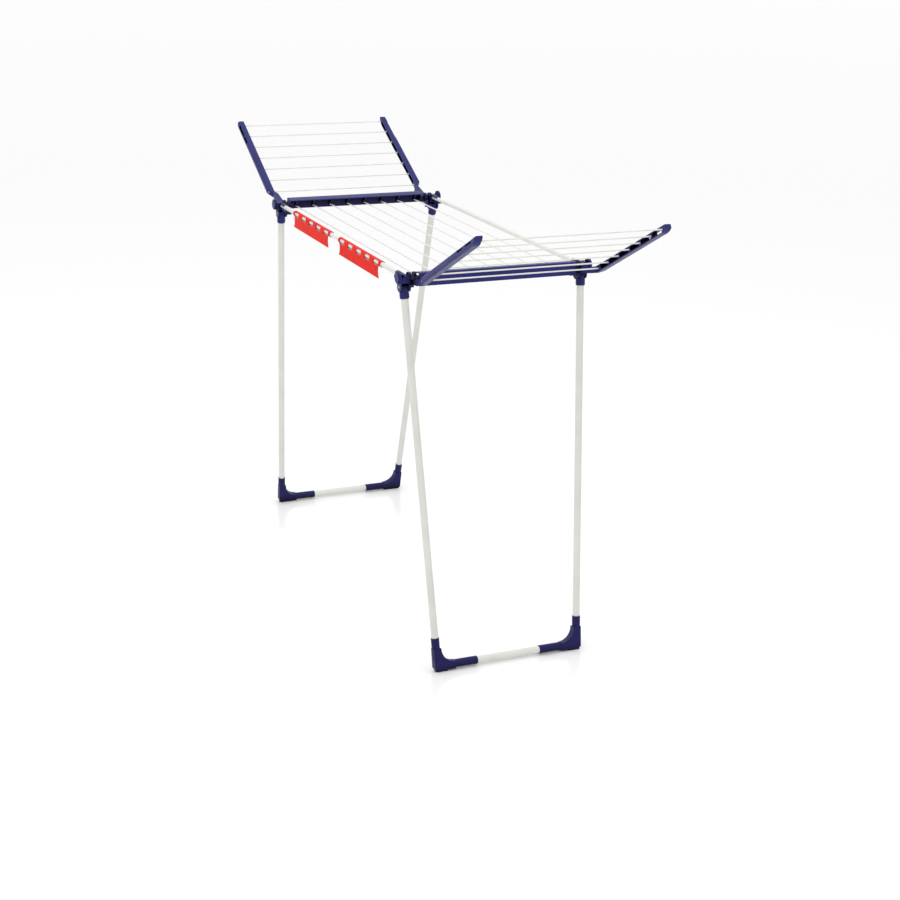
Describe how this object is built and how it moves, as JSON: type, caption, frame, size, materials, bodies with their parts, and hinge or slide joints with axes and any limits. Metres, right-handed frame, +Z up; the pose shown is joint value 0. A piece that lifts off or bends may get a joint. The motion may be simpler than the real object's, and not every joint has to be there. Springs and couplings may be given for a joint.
{
  "type": "winged clothes drying rack",
  "caption": "Free-standing folding clothes drying rack with wires, two folding wings, two folding tube legs and sliding hanger holders.",
  "frame": {"origin": "on the floor under the middle of the opened rack", "axes": "+Z up, +X from the left end to the right end, +Y from the front side tube to the back one"},
  "size_m": [1.787, 0.5118, 1.1435],
  "materials": {
    "frame_tube": "smooth white powder coat",
    "leg_tube": "smooth white powder coat",
    "drying_wire": "white plastic coated wire",
    "navy_plastic": "semi-gloss moulded navy plastic",
    "foot_plastic": "satin moulded navy plastic",
    "red_plastic": "glossy moulded red plastic",
    "pin_steel": "plain turned steel"
  },
  "bodies": {
    "main_frame": {"side_tube_front": "frame_tube", "side_tube_back": "frame_tube", "line_bar_left": "navy_plastic", "line_bar_right": "navy_plastic", "corner_bracket_left_front": "navy_plastic", "corner_bracket_left_back": "navy_plastic", "corner_bracket_right_front": "navy_plastic", "corner_bracket_right_back": "navy_plastic", "leg_hinge_pins": "pin_steel", "wing_hinge_pins": "pin_steel", "main_line_1": "drying_wire", "main_line_2": "drying_wire", "main_line_3": "drying_wire", "main_line_4": "drying_wire", "main_line_5": "drying_wire", "main_line_6": "drying_wire", "main_line_7": "drying_wire", "main_line_8": "drying_wire"},
    "left_leg": {"leg_tube_left_front": "leg_tube", "leg_tube_left_back": "leg_tube", "crossbar_left": "leg_tube", "leg_socket_left_front": "navy_plastic", "leg_socket_left_back": "navy_plastic", "foot_cap_left_front": "foot_plastic", "foot_cap_left_back": "foot_plastic"},
    "right_leg": {"leg_tube_right_front": "leg_tube", "leg_tube_right_back": "leg_tube", "crossbar_right": "leg_tube", "leg_socket_right_front": "navy_plastic", "leg_socket_right_back": "navy_plastic", "foot_cap_right_front": "foot_plastic", "foot_cap_right_back": "foot_plastic"},
    "left_wing": {"wing_arm_left_front": "navy_plastic", "wing_arm_left_back": "navy_plastic", "wing_left_line_1": "drying_wire", "wing_left_line_2": "drying_wire", "wing_left_line_3": "drying_wire", "wing_left_line_4": "drying_wire", "wing_left_line_5": "drying_wire", "wing_left_line_6": "drying_wire", "wing_left_line_7": "drying_wire"},
    "right_wing": {"wing_arm_right_front": "navy_plastic", "wing_arm_right_back": "navy_plastic", "wing_right_line_1": "drying_wire", "wing_right_line_2": "drying_wire", "wing_right_line_3": "drying_wire", "wing_right_line_4": "drying_wire", "wing_right_line_5": "drying_wire", "wing_right_line_6": "drying_wire", "wing_right_line_7": "drying_wire"},
    "left_hanger_holder": {"hanger_holder_left": "red_plastic"},
    "right_hanger_holder": {"hanger_holder_right": "red_plastic"}
  },
  "joints": [
    {"name": "left_leg_fold", "type": "hinge", "parent": "main_frame", "child": "left_leg", "pos_m": [-0.478, 0, 0.94], "axis": [0, -1, 0], "range_deg": [0, 98.3]},
    {"name": "right_leg_fold", "type": "hinge", "parent": "main_frame", "child": "right_leg", "pos_m": [0.478, 0, 0.94], "axis": [0, 1, 0], "range_deg": [0, 94]},
    {"name": "left_wing_fold", "type": "hinge", "parent": "main_frame", "child": "left_wing", "pos_m": [-0.484, 0, 0.95], "axis": [0, 1, 0], "range_deg": [0, 149]},
    {"name": "right_wing_fold", "type": "hinge", "parent": "main_frame", "child": "right_wing", "pos_m": [0.484, 0, 0.95], "axis": [0, -1, 0], "range_deg": [0, 149]},
    {"name": "left_holder_slide", "type": "slide", "parent": "main_frame", "child": "left_hanger_holder", "axis": [1, 0, 0], "range_m": [-0.033, 0.03]},
    {"name": "right_holder_slide", "type": "slide", "parent": "main_frame", "child": "right_hanger_holder", "axis": [1, 0, 0], "range_m": [-0.03, 0.045]}
  ]
}
